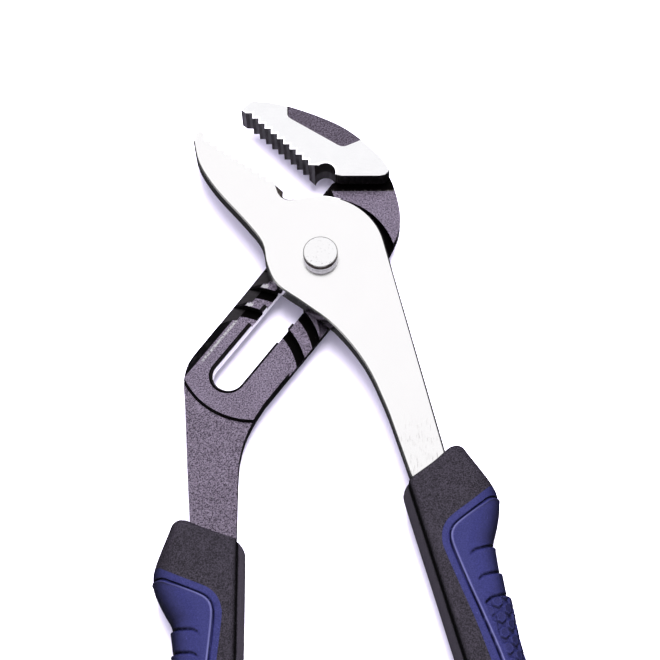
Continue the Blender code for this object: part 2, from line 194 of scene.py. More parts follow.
LAND_GLINT = (0.80, 0.78, 0.84)
RUBBED_STEP = (0.55, 0.50, 0.50)
THROAT_END = (0.934, 0.357, 0)  # across the painted shadow's black margin at the throat end of the plate
THROAT_END_AT = 12.43
PANEL_FRONT_X = -10.95  # the panel's short front edge
SLOT_RIM = 0.84  # width of the painted black rim of shade outside the slot, and of its fade
SLOT_RIM_FADE = 0.12
GROOVE_BLACK_R = 21.0  # radius, about a groove's own place, where the painted shade on its floor ends
GROOVE_BLACK = 3.7  # length of that painted shade
BEVEL_GROUND = ((0.028, 0.025, 0.028), (0.085, 0.078, 0.088))
BEVEL_TONES = ((0.045, 0.042, 0.048), (0.16, 0.15, 0.17))
BEVEL_SILVER = (0.42, 0.40, 0.44)
TOOTH_START = -22.0  # left-hand end of a tooth wall, and the teeth's spacing
TOOTH_PITCH = 2.01
TOOTH_TONES = ((0.013, 0.0115, 0.013), (0.034, 0.031, 0.035))
TOOTH_LIT = (0.074, 0.070, 0.078)
THROAT_HIGH = ((0.004, 0.003, 0.003), (0.010, 0.008, 0.008))
THROAT_LOW = ((0.028, 0.026, 0.030), (0.058, 0.054, 0.060))
SLOT_REFLECTION = ((0.80, 0.78, 0.84), (0.92, 0.90, 0.95))
EDGE_WHITE = ((0.72, 0.71, 0.73), (0.88, 0.87, 0.89))
OXIDE = ((0.0020, 0.0016, 0.0017), (0.0070, 0.0058, 0.0066))
THROAT_SHADE = ((0.004, 0.003, 0.003), (0.022, 0.018, 0.016))
STEEL_PIT = (0.25, 0.23, 0.25)
RUBBER_GRAIN = 0.34


class Surface:
    """A Principled material with short calls for the nodes that feed it."""

    def __init__(self, name, metallic, roughness, specular=0.5):
        self.material = bpy.data.materials.new(name)
        self.material.use_nodes = True
        self.tree = self.material.node_tree
        self.shader = self.tree.nodes["Principled BSDF"]
        self.shader.inputs["Metallic"].default_value = metallic
        self.shader.inputs["Roughness"].default_value = roughness
        self.shader.inputs["Specular IOR Level"].default_value = specular
        self.place = self.add("ShaderNodeTexCoord").outputs["Object"]

    def add(self, kind):
        return self.tree.nodes.new(kind)

    def link(self, source, socket):
        self.tree.links.new(source, socket)

    def value(self, socket, given):
        """Give a socket a number, a colour or the output of another node."""
        if isinstance(given, bpy.types.NodeSocket):
            self.link(given, socket)
        else:
            socket.default_value = (*given, 1) if isinstance(given, tuple) else given

    def stretched(self, scale, turn=0.0):
        node = self.add("ShaderNodeMapping")
        self.link(self.place, node.inputs["Vector"])
        node.inputs["Rotation"].default_value = (0, 0, math.radians(turn))
        node.inputs["Scale"].default_value = scale
        return node.outputs["Vector"]

    def noise(self, size_mm, detail=2.0, rough=0.5, vector=None):
        node = self.add("ShaderNodeTexNoise")
        self.link(vector or self.place, node.inputs["Vector"])
        node.inputs["Scale"].default_value = 1 / (size_mm * MM)
        node.inputs["Detail"].default_value = detail
        node.inputs["Roughness"].default_value = rough
        return node.outputs["Fac"]

    def band(self, source, low, high, to_low=0.0, to_high=1.0):
        node = self.add("ShaderNodeMapRange")
        node.interpolation_type = "SMOOTHSTEP"
        self.link(source, node.inputs["Value"])
        limits = {"From Min": low, "From Max": high, "To Min": to_low, "To Max": to_high}
        for name, number in limits.items():
            node.inputs[name].default_value = number
        return node.outputs["Result"]

    def calc(self, operation, a, b=0.0):
        node = self.add("ShaderNodeMath")
        node.operation = operation
        self.value(node.inputs[0], a)
        self.value(node.inputs[1], b)
        return node.outputs["Value"]

    def times(self, *shares):
        """The product of several shares."""
        product = shares[0]
        for share in shares[1:]:
            product = self.calc("MULTIPLY", product, share)
        return product

    def length(self, a, b):
        """The length of a vector with two components."""
        return self.calc("SQRT", self.calc("ADD", self.times(a, a), self.times(b, b)))

    def axis(self, direction, offset_mm=0.0):
        """Distance in mm along a direction."""
        node = self.add("ShaderNodeVectorMath")
        node.operation = "DOT_PRODUCT"
        self.link(self.place, node.inputs[0])
        node.inputs[1].default_value = tuple(part / MM for part in direction)
        return self.calc("SUBTRACT", node.outputs["Value"], offset_mm)

    def blend(self, share, a, b):
        """Colour a where share is 0, colour b where it is 1."""
        node = self.add("ShaderNodeMix")
        node.data_type = "RGBA"
        self.value(node.inputs["Factor"], share)
        self.value(node.inputs[6], a)
        self.value(node.inputs[7], b)
        return node.outputs[2]

    def colour(self, given):
        self.value(self.shader.inputs["Base Color"], given)

    def roughness(self, given):
        self.link(given, self.shader.inputs["Roughness"])

    def streaks(self):
        """Faint marks that run down a wall."""
        return self.noise(0.45, 3.0, 0.6, self.stretched((1, 1, 0.12)))

    def ground_lines(self):
        """Grinding marks along the slot."""
        return self.noise(0.22, 3.0, 0.6, self.stretched((0.07, 1, 1), -SLOT_ANGLE))

    def bump(self, height, depth_mm, strength=1.0):
        node = self.add("ShaderNodeBump")
        node.inputs["Strength"].default_value = strength
        node.inputs["Distance"].default_value = depth_mm * MM
        self.link(height, node.inputs["Height"])
        self.link(node.outputs["Normal"], self.shader.inputs["Normal"])


def chrome_material():
    """Satin chrome with faint clouding, hairlines and scuffs by the grip."""
    s = Surface("satin_chrome_plate", 1.0, 0.24)
    cloud = s.noise(9.0, 3.0)
    hair = s.noise(0.16, 2.0, 0.6, s.stretched((1, 0.05, 1), 15))
    scuff_line = s.band(s.noise(0.30, 3.0, 0.7, s.stretched((1, 0.10, 1), 22)), 0.56, 0.66)
    near_grip = s.band(s.axis((*direction(OUTER_ANGLE), 0)), *SCUFFS_ALONG)
    patchy = s.band(s.noise(2.6, 2.0), 0.42, 0.58)
    scuff = s.times(scuff_line, near_grip, patchy)
    s.colour(s.blend(s.times(scuff, 0.45), s.blend(cloud, *CHROME), CHROME_SCUFF))
    s.roughness(s.calc("ADD", s.band(hair, 0.2, 0.8, 0.22, 0.25), s.times(scuff, 0.15)))
    s.bump(hair, 0.002, 0.12)
    return s.material


def mouth_material():
    """Matt plating on the walls of the bright jaw's teeth."""
    s = Surface("matt_plated_teeth", 0.0, 0.5, 0.3)
    cloud = s.noise(0.8, 3.0, 0.6)
    s.colour(s.blend(cloud, *TOOTH_PLATING))
    s.roughness(s.band(cloud, 0.3, 0.7, 0.42, 0.58))
    s.bump(cloud, 0.01, 0.3)
    return s.material


def polished_material():
    """Ground and polished steel on the flat of the dark jaw."""
    s = Surface("polished_jaw", 1.0, 0.22)
    lines = s.noise(0.14, 2.0, 0.6, s.stretched((0.06, 1, 1), 40))
    cloud = s.noise(7.0, 3.0)
    s.colour(s.blend(cloud, *POLISHED))
    s.roughness(s.band(lines, 0.2, 0.8, 0.18, 0.28))
    s.bump(lines, 0.004, 0.4)
    return s.material


def gunmetal_material(name, tones, *marks):
    """Bead-blasted black nickel: a dark field with fine bright grains."""
    s = Surface(name, 1.0, 0.40)
    grain = s.noise(0.46, 3.0, 0.75)
    cloud = s.calc("SUBTRACT", s.noise(8.0, 2.0), 0.5)
    spark = s.band(s.noise(0.30, 1.5, 0.6), 0.58, 0.70)
    pits = s.band(s.noise(0.36, 2.0, 0.6), 0.38, 0.28)
    tone = s.calc("ADD", s.band(grain, 0.32, 0.68), s.times(cloud, 0.35))
    base = s.blend(tone, *tones)
    base = s.blend(s.times(spark, 0.42), base, SPARK)
    base = s.blend(s.times(pits, 0.6), base, PIT)
    for mark in marks:
        base = mark(s, base)
    s.colour(base)
    s.roughness(s.band(grain, 0.3, 0.7, 0.52, 0.34))
    s.bump(grain, 0.05, 0.55)
    return s.material


def along_slot(s):
    return s.axis((HEADWARD.x, HEADWARD.y, 0))


def across_slot(s):
    return s.axis((HEADWARD.y, -HEADWARD.x, 0))


def worn_bevel_edge(s, base):
    """Chips of bare metal along the edge of the broad bevel."""
    off = s.calc("ABSOLUTE", s.calc("ADD", across_slot(s), BEVEL_LINE))
    chips = s.band(s.noise(0.8, 3.0, 0.7), 0.38, 0.54)
    behind = s.band(along_slot(s), -50.0, -46.0)
    ahead = s.band(along_slot(s), 0.0, -12.0)
    return s.blend(s.times(s.band(off, 0.65, 0.10), chips, behind, ahead), base, BARE_EDGE)


def jaw_root_shadow_and_wear(s, base):
    """Painted shadow: the plate is painted black in front of the jaw's step, with a thin worn border."""
    beyond = s.axis((0.008, 1, 0), JAW_ROOT_Y)
    base = s.blend(s.band(beyond, -0.08, 0.08), base, MARGIN_BLACK)
    line = s.band(s.calc("ABSOLUTE", s.calc("SUBTRACT", beyond, 0.25)), 0.28, 0.05)
    wear_and_highlight = s.band(s.noise(0.9, 3.0, 0.7), 0.50, 0.66)
    base = s.blend(s.times(line, wear_and_highlight, 0.5), base, RUBBED_STEP)
    # and the painted shadow goes on as a black margin at its left-hand end, beside the throat
    end = s.band(s.axis(THROAT_END, THROAT_END_AT), 0.08, -0.08)
    return s.blend(s.times(end, s.band(s.axis((0, 1, 0)), 22.5, 22.7)), base, MARGIN_BLACK)


def step_corner_shade(s, base):
    """Painted shade: a black ring in the corner where the handle steps down from the plate."""
    x = s.axis((1, 0, 0), STEP_CENTRE[0])
    y = s.axis((0, 1, 0), STEP_CENTRE[1])
    off = s.calc("ABSOLUTE", s.calc("SUBTRACT", s.length(x, y), STEP_R - 0.08))
    ring = s.times(s.band(off, 0.44, 0.30), s.band(y, -5.5, -6.5))
    return s.blend(ring, base, SHADE_BLACK)


def slot_rim_shade(s, base):
    """Painted shade: a black margin outside the slot's chamfer, broadest round its lower end."""
    along = along_slot(s)
    nearest = s.calc("MINIMUM", s.calc("MAXIMUM", along, -SLOT_TRAVEL - 0.3), 0.0)
    gap = s.length(s.calc("SUBTRACT", along, nearest), across_slot(s))
    edge = SLOT_HALF + SLOT_RIM
    return s.blend(s.band(gap, edge + SLOT_RIM_FADE, edge), base, SHADE_BLACK)


def dark_panel_edge(s, base):
    """A dark band along the panel's short front edge."""
    return s.blend(s.band(s.axis((1, 0, 0), PANEL_FRONT_X), 0.55, 0.40), base, MARGIN_BLACK)


def past_arc(s, across, radius):
    """How far a point is past the last arc of that radius, one to each groove."""
    arc = s.calc("SQRT", s.calc("SUBTRACT", radius ** 2, s.times(across, across)))
    return s.calc("FLOORED_MODULO", s.calc("SUBTRACT", along_slot(s), arc), PITCH)


def land_glints_and_nicks(s, base):
    """Each land between two grooves has a painted glint at its corner by the bevel, and a nicked rear
    edge.
    """
    across = across_slot(s)
    past = past_arc(s, across, GROOVE_OUT)
    lands = s.times(s.band(along_slot(s), -32.0, -30.0), s.band(along_slot(s), 6.0, 4.0))
    by_bevel = s.band(s.calc("ADD", across, BEVEL_LINE - 0.95), 0.0, -0.15)
    # painted highlight: a glint on each land's corner by the bevel
    corner = s.times(s.band(past, 1.25, 1.1), s.band(past, 0.10, 0.25), by_bevel, lands)
    base = s.blend(corner, base, LAND_GLINT)
    rear = s.times(s.band(past, 1.95, 2.1), s.band(past, 2.7, 2.6))
    nicks = s.band(s.noise(0.9, 2.0, 0.6), 0.48, 0.54)
    return s.blend(s.times(rear, nicks, lands), base, NICK)


def dark_beyond_bevel(s, base):
    """Groove ends run out into the dark ground bevel."""
    ground = s.blend(s.ground_lines(), *BEVEL_GROUND)
    return s.blend(s.band(across_slot(s), -10.0, -10.2), base, ground)


def groove_side_shade(s, base):
    """Painted shade: each groove's floor is painted black towards its head-side wall; behind that it
    keeps the plate's grain.
    """
    past = past_arc(s, across_slot(s), GROOVE_BLACK_R)
    return s.blend(s.band(past, GROOVE_BLACK, GROOVE_BLACK - 0.1), base, SHADE_BLACK)


def wall_material(name, tones, roughness, specular):
    """Black oxide on sawn and milled walls, faintly streaked downwards."""
    s = Surface(name, 0.0, roughness, specular)
    streak = s.streaks()
    s.colour(s.blend(s.band(streak, 0.35, 0.65), *tones))
    s.roughness(s.band(streak, 0.2, 0.8, roughness + 0.08, roughness - 0.08))
    s.bump(streak, 0.02, 0.4)
    return s.material


def teeth_material():
    """Black sawn teeth: each wall is painted paler towards its inner corner and left dark at its other
    end, as painted light and shade.
    """
    s = Surface("sawn_teeth", 0.0, 0.45, 0.35)
    streak = s.streaks()
    phase = s.calc("FLOORED_MODULO", s.axis((1, 0, 0), TOOTH_START), TOOTH_PITCH)
    # painted light and shade along each tooth wall, by its place in the tooth spacing
    pale = s.times(s.band(phase, 0.75, 1.05), s.band(phase, 1.95, 1.75), 0.75)
    s.colour(s.blend(pale, s.blend(s.band(streak, 0.35, 0.65), *TOOTH_TONES), TOOTH_LIT))
    s.roughness(s.band(streak, 0.2, 0.8, 0.53, 0.37))
    s.bump(streak, 0.02, 0.4)
    return s.material


def throat_material():
    """Black oxide whose lower half, in the round throat, is paler."""
    s = Surface("throat_wall", 0.0, 0.5, 0.25)
    streak = s.streaks()
    low = s.band(s.axis((0, 0, 1), MID_Z - 0.4), 0.25, -0.25)
    s.colour(s.blend(low, s.blend(streak, *THROAT_HIGH), s.blend(streak, *THROAT_LOW)))
    s.bump(streak, 0.02, 0.4)
    return s.material


def slot_wall_material():
    """The slot's left wall, painted bright as a painted reflection of the lit floor, below a black rim of
    painted shade.
    """
    s = Surface("slot_wall", 0.0, 0.45, 0.5)
    floor_reflection = s.blend(s.noise(0.9, 3.0, 0.6), *SLOT_REFLECTION)
    height = s.axis((0, 0, 1), PLATE_Z - 1.3)
    # a black top strip of painted shade above the painted floor reflection
    s.colour(s.blend(s.band(height, 0.1, -0.3), MARGIN_BLACK, floor_reflection))
    return s.material


def bright_edge_material():
    """The polished jaw's broken edge, rubbed white."""
    s = Surface("rubbed_edge", 0.2, 0.45, 0.5)
    s.colour(s.blend(s.noise(0.7, 3.0, 0.6), *EDGE_WHITE))
    return s.material


def bevel_material():
    """Dark ground bevel with streaks along the slot and worn silver patches."""
    s = Surface("dark_ground_bevel", 1.0, 0.34)
    lines = s.ground_lines()
    wear = s.band(s.noise(3.0, 3.0), 0.50, 0.68)
    s.colour(s.blend(s.times(wear, 0.5), s.blend(lines, *BEVEL_TONES), BEVEL_SILVER))
    s.roughness(s.band(lines, 0.2, 0.8, 0.42, 0.28))
    s.bump(lines, 0.01, 0.5)
    return s.material


def steel_material(name, tones, roughness, ring_mm):
    """Turned steel: rings of tool marks round the pivot axis."""
    s = Surface(name, 1.0, roughness)
    ring = s.add("ShaderNodeCombineXYZ")
    s.link(s.times(s.length(s.axis((1, 0, 0)), s.axis((0, 1, 0))), MM), ring.inputs["X"])
    marks = s.noise(ring_mm, 2.0, 0.6, ring.outputs["Vector"])
    pits = s.band(s.noise(0.55, 2.0), 0.66, 0.72)
    s.colour(s.blend(s.times(pits, 0.5), s.blend(marks, *tones), STEEL_PIT))
    s.roughness(s.band(marks, 0.2, 0.8, roughness - 0.05, roughness + 0.07))
    s.bump(marks, 0.006, 0.4)
    return s.material


def rubber_material(name, tones, roughness, grain_depth, slope_shade, wear_and_highlight):
    """Moulded grip rubber with a fine grain; slopes are darkened as painted shade, and the mesh's
    per-point value paints highlights paler and shade darker.
    """
    s = Surface(name, 0.0, roughness, 0.30)
    grain = s.noise(RUBBER_GRAIN, 2.0, 0.6)
    cloud = s.noise(5.0, 3.0, 0.6)
    specks = s.band(s.noise(0.5, 1.0, 0.5), 0.74, 0.80)
    tone = s.calc("ADD", s.times(grain, 0.86), s.times(cloud, 0.14))
    base = s.blend(s.band(tone, 0.36, 0.64), *tones)
    base = s.blend(s.times(specks, 0.5), base, tuple(part * 3.0 + 0.02 for part in tones[1]))
    normal = s.add("ShaderNodeSeparateXYZ")
    s.link(s.add("ShaderNodeNewGeometry").outputs["Normal"], normal.inputs[0])
    # painted shade: slopes darker than flats, by their normal
    flat = s.band(s.calc("ABSOLUTE", normal.outputs["Z"]), 0.30, 0.985)
    base = s.blend(flat, s.blend(slope_shade, base, (0, 0, 0)), base)
    # painted highlights where the per-point value is above 0, painted shade where it is below
    light_and_shade = s.add("ShaderNodeAttribute")
    light_and_shade.attribute_name = "light_and_shade"
    base = s.blend(s.calc("MAXIMUM", light_and_shade.outputs["Fac"], 0.0), base, wear_and_highlight)
    painted_dark = s.calc("MAXIMUM", s.times(light_and_shade.outputs["Fac"], -1.0), 0.0)
    s.colour(s.blend(painted_dark, base, tuple(0.12 * part for part in tones[0])))
    s.roughness(s.band(grain, 0.2, 0.8, roughness + 0.06, roughness - 0.06))
    s.bump(grain, grain_depth, 0.6)
    return s.material


# ---------------- shape helpers
def polyline(points, steps):
    """A soft curve through (x, y) points, as an array."""
    pts = np.array([points[0]] + list(points) + [points[-1]], float)
    share = np.arange(steps)[:, None] / steps
    rows = []
    for p0, p1, p2, p3 in zip(pts, pts[1:], pts[2:], pts[3:]):
        q = 2 * p1 + (p2 - p0) * share + (2 * p0 - 5 * p1 + 4 * p2 - p3) * share ** 2
        rows.append((q + (3 * p1 - p0 - 3 * p2 + p3) * share ** 3) / 2)
    return np.vstack(rows + [pts[-1:]])


def smoothstep(low, high, value):
    """0 below low, 1 above high and a soft rise between them."""
    share = np.clip((value - low) / (high - low), 0, 1)
    return share * share * (3 - 2 * share)


def dip(value, start, end):
    """1 up to start and 0 from end on."""
    return 1 - smoothstep(start, end, value)


def signed_distance(curve, x, y):
    """Distance from points to an open curve, positive on its left-hand side."""
    best = np.full(x.shape, 1e9)
    side = np.zeros(x.shape)
    for (x0, y0), (x1, y1) in zip(curve, curve[1:]):
        dx, dy = x1 - x0, y1 - y0
        length = dx * dx + dy * dy
        if length < 1e-12:
            continue
        share = np.clip(((x - x0) * dx + (y - y0) * dy) / length, 0, 1)
        gap = np.hypot(x - x0 - share * dx, y - y0 - share * dy)
        nearer = gap < best
        best = np.where(nearer, gap, best)
        side = np.where(nearer, dx * (y - y0) - dy * (x - x0), side)
    return np.where(side >= 0, best, -best)


def new_piece(name, verts, faces, material, sharp=40.0, light_and_shade=None):
    """A finished mesh; the optional per-point value says how far each point is painted paler as a
    highlight or darker as shade.
    """
    obj = mesh_object(name, [tuple(v) for v in verts], faces)
    if material is not None:
        obj.data.materials.append(material)
    if light_and_shade is not None:
        values = obj.data.attributes.new("light_and_shade", "FLOAT", "POINT").data
        values.foreach_set("value", light_and_shade.ravel().astype("f"))
    finish_mesh(obj, sharp)
    return obj


def finish_mesh(obj, sharp):
    """Weld a mesh, turn its faces outwards and shade it smooth up to the sharp angle."""
    bm = bmesh.new()
    bm.from_mesh(obj.data)
    bmesh.ops.remove_doubles(bm, verts=bm.verts, dist=0.000004)
    bmesh.ops.dissolve_degenerate(bm, edges=bm.edges, dist=0.000002)
    bmesh.ops.recalc_face_normals(bm, faces=bm.faces)
    bm.to_mesh(obj.data)
    bm.free()
    obj.data.polygons.foreach_set("use_smooth", [True] * len(obj.data.polygons))
    obj.data.set_sharp_from_angle(angle=math.radians(sharp))


def loft(rings):
    """Verts and faces of a closed tube through rings of equal length, shape (r, n, 3)."""
    count = rings.shape[1]
    last = (rings.shape[0] - 1) * count
    faces = []
    for a in range(0, last, count):
        for i in range(count):
            j = (i + 1) % count
            faces.append((a + i, a + j, a + count + j, a + count + i))
    faces.append(tuple(range(count - 1, -1, -1)))
    faces.append(tuple(range(last, last + count)))
    return rings.reshape(-1, 3) * MM, faces


# ---------------- levers
OUTER_BREAK = 0.24  # width of the broken edges on each lever
INNER_BREAK = 0.10
# the bright jaw's back, which leans in below the top of its draft and less so by the tip
JAW_BACK = [(-16.8, -2.6), (-18.4, 5.0), (-23.7, 12.6), (-33.0, 23.8), (-38.7, 33.2), (-40.7, 41.6)]
DRAFT_TOP = MID_Z - 0.1
DRAFT_LEAN = 0.56
DRAFT_WAY = (0.82, 0.57)
DRAFT_FADES = 0.75
DRAFT_FADES_Y = (31.0, 41.0)
# the dark jaw's square tip corner, and the crest of its last tooth
TIP_X = -25.1
TIP_Y = (51.0, 52.5)
TIP_MOVE = (1.45, -0.10)
CREST_X = (-2.2, -1.1)
CREST_Y = (30.0, 32.2)
CREST_TO_Y = 32.5
CREST_FACE_Y = 32.75
# the scoop below the bright jaw's face, along the throat
LIP_PATH = [(-14.5, 25.6), (-14.2, 24.4), (-13.6, 22.5), (-12.5, 20.85), (-11.0, 20.05)]
LIP_PATH += [(-9.4, 19.85), (-7.8, 20.05)]
LIP_REACH = 1.45
LIP_LEAST = 0.30
FACE_SLACK = 0.15  # how far below its nominal height a face may be and still count
BEVEL_DEPTH = 4.4


def draft_outer_jaw(mesh):
    """Lean the lower half of the bright jaw's back inwards, as it was forged."""
    bm = bmesh.new()
    bm.from_mesh(mesh)
    everything = list(bm.verts) + list(bm.edges) + list(bm.faces)
    plane = (0, 0, DRAFT_TOP * MM)
    bmesh.ops.bisect_plane(bm, geom=everything, dist=0.000001, plane_co=plane, plane_no=(0, 0, 1))
    back = polyline(JAW_BACK, 4)
    for v in bm.verts:
        x, y, z = (c / MM for c in v.co)
        drop = DRAFT_TOP - z
        if drop < 0.01 or y < JAW_BACK[0][1]:
            continue
        gap = abs(float(signed_distance(back, np.array([x]), np.array([y]))[0]))
        if gap < 1.0:
            lean = DRAFT_LEAN * drop * (1 - DRAFT_FADES * float(smoothstep(*DRAFT_FADES_Y, y)))
            v.co.x += DRAFT_WAY[0] * lean * MM
            v.co.y += DRAFT_WAY[1] * lean * MM
    bm.to_mesh(mesh)
    bm.free()


def shape_inner_jaw(mesh):
    """Cut the corner off the dark jaw's tip and finish its last tooth at the round throat."""
    for v in mesh.vertices:
        x, y, z = v.co / MM
        if x < TIP_X and TIP_Y[0] < y < TIP_Y[1]:
            v.co.x += TIP_MOVE[0] * MM
            v.co.y += TIP_MOVE[1] * MM
        if z > TOP_Z - 1.2 and CREST_X[0] < x < CREST_X[1] and CREST_Y[0] < y < CREST_Y[1]:
            v.co.y = (CREST_TO_Y if z < TOP_Z - 0.2 else CREST_FACE_Y) * MM


def throat_lip():
    """A small dark scoop of the bright jaw's throat that leans out below its face."""
    path = polyline(LIP_PATH, 6)
    ahead = np.gradient(path, axis=0)
    ahead /= np.linalg.norm(ahead, axis=1, keepdims=True)
    rings = []
    for place, (tx, ty), share in zip(path, ahead, np.linspace(0, 1, len(path))):
        reach = LIP_LEAST + LIP_REACH * math.exp(-((share - 0.34) / 0.15) ** 2)
        reach *= smoothstep(0.0, 0.14, share) * dip(share, 0.93, 1.0) + 0.02
        out = np.array([-ty, tx])
        # how far out, and how far below the face
        rows = [(-0.35, 1.6), (-0.02, -0.012), (0.55 * reach, 0.03 + 0.1 * reach)]
        rows += [(reach, 0.10 + 0.30 * reach), (0.8 * reach, 2.2)]
        rings.append([(*(place + away * out), TOP_Z - drop) for away, drop in rows])
    shade = wall_material("throat_shade", THROAT_SHADE, 0.40, 0.3)
    return new_piece("throat_lip", *loft(np.array(rings)), shade)


def rounded_copy(node, name, width_mm, reshape):
    """The CAD lever again, reshaped, with its sharp edges broken by a small radius."""
    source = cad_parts[node].data
    faces = [tuple(p.vertices) for p in source.polygons]
    obj = mesh_object(name, [v.co.copy() for v in source.vertices], faces)
    bm = bmesh.new()
    bm.from_mesh(obj.data)
    bmesh.ops.remove_doubles(bm, verts=bm.verts, dist=0.000002)
    bmesh.ops.dissolve_limit(bm, angle_limit=math.radians(0.6), verts=bm.verts, edges=bm.edges)
    bm.to_mesh(obj.data)
    bm.free()
    reshape(obj.data)
    bevel = obj.modifiers.new("bevel", "BEVEL")
    bevel.width = width_mm * MM
    bevel.segments = 2
    bevel.limit_method = "ANGLE"
    bevel.angle_limit = math.radians(32)
    bevel.use_clamp_overlap = True
    bevel.miter_outer = "MITER_ARC"
    graph = bpy.context.evaluated_depsgraph_get()
    graph.update()
    old = obj.data
    mesh = bpy.data.meshes.new_from_object(obj.evaluated_get(graph))
    obj.modifiers.clear()
    obj.data = mesh
    bpy.data.meshes.remove(old)
    mesh.name = name
    finish_mesh(obj, 50)
    weighted = obj.modifiers.new("weighted_normals", "WEIGHTED_NORMAL")
    weighted.weight = 100
    weighted.keep_sharp = True
    return obj


def paint_faces(obj, materials, choose):
    """Give every face the material that choose(centre in mm, normal) names."""
    names = list(materials)
    for name in names:
        obj.data.materials.append(materials[name])
    for polygon in obj.data.polygons:
        polygon.material_index = names.index(choose(polygon.center / MM, polygon.normal))


def inner_lever_surface(centre, normal):
    """The dark lever's surfaces, told apart by height, slope and place."""
    across = centre.x * HEADWARD.y - centre.y * HEADWARD.x
    along = centre.x * HEADWARD.x + centre.y * HEADWARD.y
    if normal.z > 0.93:
        if centre.z > TOP_Z - 0.1:
            return "polished"
        if centre.z > TOP_Z - 0.8:
            return "panel"
        if centre.z > PLATE_Z - FACE_SLACK:
            return "plate"
        if centre.z > HANDLE_FACE_Z - FACE_SLACK:
            return "handle"
        return "groove"
    if normal.z > 0.3 and centre.z > TOP_Z - 0.45:
        return "edge"
    if normal.z > 0.5 and across < -BEVEL_LINE + 0.3 and PLATE_Z - BEVEL_DEPTH < centre.z < PLATE_Z:
        return "bevel"
    if normal.z < -0.9:
        return "handle"
    if abs(across) < SLOT_HALF + 0.7 and along < -12.0 and abs(normal.z) < 0.3:
        if normal.x * HEADWARD.y - normal.y * HEADWARD.x > 0.3 or along < -SLOT_TRAVEL:
            return "slot"
    if centre.y > 31.0 and centre.x < -2.2:
        return "teeth"
    if centre.y > 28.7 and centre.x < 5.0:
        return "throat"
    return "black"


def outer_lever_surface(centre, normal):
    """The bright lever is chrome but for the walls of its teeth."""
    in_mouth = centre.y > 20.0 and centre.x + 0.9 * centre.y > -3.0
    if in_mouth and abs(normal.z) < 0.9:
        return "mouth"
    return "chrome"


def build_levers():
    """Both levers with their surfaces, and the scoop in the bright one's throat."""
    outer = rounded_copy("outer_lever", "chrome_lever", OUTER_BREAK, draft_outer_jaw)
    paint_faces(outer, {"chrome": chrome_material(), "mouth": mouth_material()}, outer_lever_surface)
    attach(outer, "outer_half")
    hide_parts("outer_lever")
    lip = throat_lip()
    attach(lip, "outer_half")
    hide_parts("outer_lever")
    inner = rounded_copy("inner_lever", "dark_lever", INNER_BREAK, shape_inner_jaw)
    plate_marks = (worn_bevel_edge, land_glints_and_nicks, slot_rim_shade, step_corner_shade, jaw_root_shadow_and_wear)
    groove_marks = (groove_side_shade, dark_beyond_bevel)
    surfaces = {
        "polished": polished_material(),
        "panel": gunmetal_material("panel_grain", PANEL_TONES, dark_panel_edge),
        "plate": gunmetal_material("plate_grain", PLATE_TONES, *plate_marks),
        "groove": gunmetal_material("groove_grain", PLATE_TONES, *groove_marks),
        "handle": gunmetal_material("handle_grain", HANDLE_TONES, step_corner_shade),
        "bevel": bevel_material(),
        "teeth": teeth_material(),
        "throat": throat_material(),
        "slot": slot_wall_material(),
        "edge": bright_edge_material(),
        "black": wall_material("black_oxide", OXIDE, 0.50, 0.12),
    }
    paint_faces(inner, surfaces, inner_lever_surface)
    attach(inner, "inner_half")
    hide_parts("inner_lever")


# ---------------- pivot
NUT_LOW = TOP_Z + 0.15
NUT_HIGH = TOP_Z + 3.2
NUT_R = 5.35
NUT_EDGE = 0.34  # radius of the soft edge round the face
NUT_FOOT = [(3.1, NUT_LOW), (5.0, NUT_LOW), (5.25, NUT_LOW + 0.3), (5.25, NUT_LOW + 1.2)]
NUT_FACE = ((4.2, 0.01), (2.6, 0.03), (1.2, 0.035), (0.35, -0.02))  # heights from the top
NUT_SPLIT = NUT_LOW + 1.25
NUT_FACE_TONES = ((0.90, 0.89, 0.90), (0.96, 0.96, 0.97))
# the side's near-black is painted shade and the foot's near-white is a painted highlight
NUT_SIDE_SHADE_TONES = ((0.016, 0.011, 0.010), (0.060, 0.045, 0.040))
NUT_FOOT_LIT_TONES = ((0.80, 0.79, 0.80), (0.93, 0.92, 0.93))
BOLT_TONES = ((0.42, 0.41, 0.43), (0.60, 0.59, 0.61))
WASHER_TONES = ((0.34, 0.33, 0.35), (0.50, 0.49, 0.51))


def nut_surface(centre, normal):
    """The nut's bright face, its side painted near black as painted shade, and the foot below it painted
    near white as a painted highlight.
    """
    if normal.z > 0.55:
        return "face"
    return "side" if centre.z > NUT_SPLIT else "foot"


def build_nut():
    """Round nut: a flat polished face with a soft edge, and a side painted dark as painted shade."""
    profile = NUT_FOOT + [(NUT_R, NUT_LOW + 1.3), (NUT_R, NUT_HIGH - NUT_EDGE)]
    for k in range(1, 6):
        a = math.radians(18 * k)
        r = NUT_R - NUT_EDGE * (1 - math.cos(a))
        profile.append((r, NUT_HIGH - NUT_EDGE + NUT_EDGE * math.sin(a)))
    profile += [(r, NUT_HIGH + above) for r, above in NUT_FACE]
    steps = 128
    angles = [2 * math.pi * i / steps for i in range(steps)]
    rings = np.array([[(r * math.cos(a), r * math.sin(a), z) for a in angles] for r, z in profile])
    nut = new_piece("round_nut", *loft(rings), None)
    surfaces = {
        "face": steel_material("nut_face", NUT_FACE_TONES, 0.22, 0.12),
        "side": wall_material("nut_side_shade", NUT_SIDE_SHADE_TONES, 0.40, 0.3),
        "foot": wall_material("nut_foot_lit", NUT_FOOT_LIT_TONES, 0.40, 0.4),
    }
    paint_faces(nut, surfaces, nut_surface)
    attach(nut, "pivot")
    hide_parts("pivot_nut")


